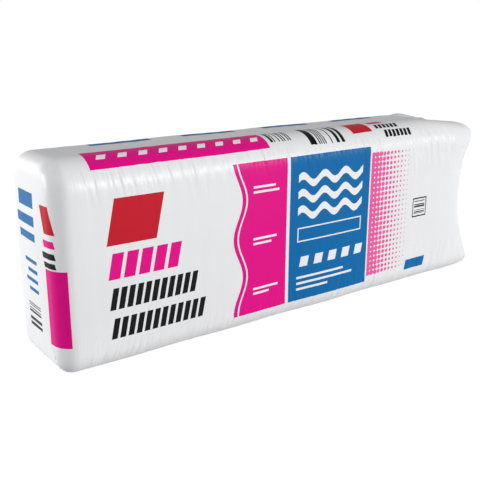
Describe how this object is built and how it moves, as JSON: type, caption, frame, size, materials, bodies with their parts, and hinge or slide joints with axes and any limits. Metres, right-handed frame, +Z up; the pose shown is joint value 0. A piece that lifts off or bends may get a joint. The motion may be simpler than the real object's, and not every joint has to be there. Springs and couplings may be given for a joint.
{
  "type": "bagged pack of unfaced fiberglass batts",
  "caption": "Long rounded bag of opaque printed film, drawn tight round a stack of folded fiberglass batts, smooth at one end and heat-sealed with four ears at the other.",
  "frame": {"origin": "on the floor, under the middle of the bag's box", "axes": "+X along the bag, from the smooth end to the sealed end; +Y through the stack of batts; +Z up, across the batts' width"},
  "size_m": [1.2138, 0.22, 0.422],
  "materials": {
    "printed_film": "opaque white polyethylene film, satin, printed in blue, magenta, red and black",
    "glass_wool": "matt pink glass wool, layered, with cut ends"
  },
  "bodies": {
    "root": {"film_bag": "printed_film", "batt_1": "glass_wool", "batt_2": "glass_wool", "batt_3": "glass_wool", "batt_4": "glass_wool", "batt_5": "glass_wool", "batt_6": "glass_wool", "batt_7": "glass_wool", "batt_8": "glass_wool"}
  },
  "joints": []
}
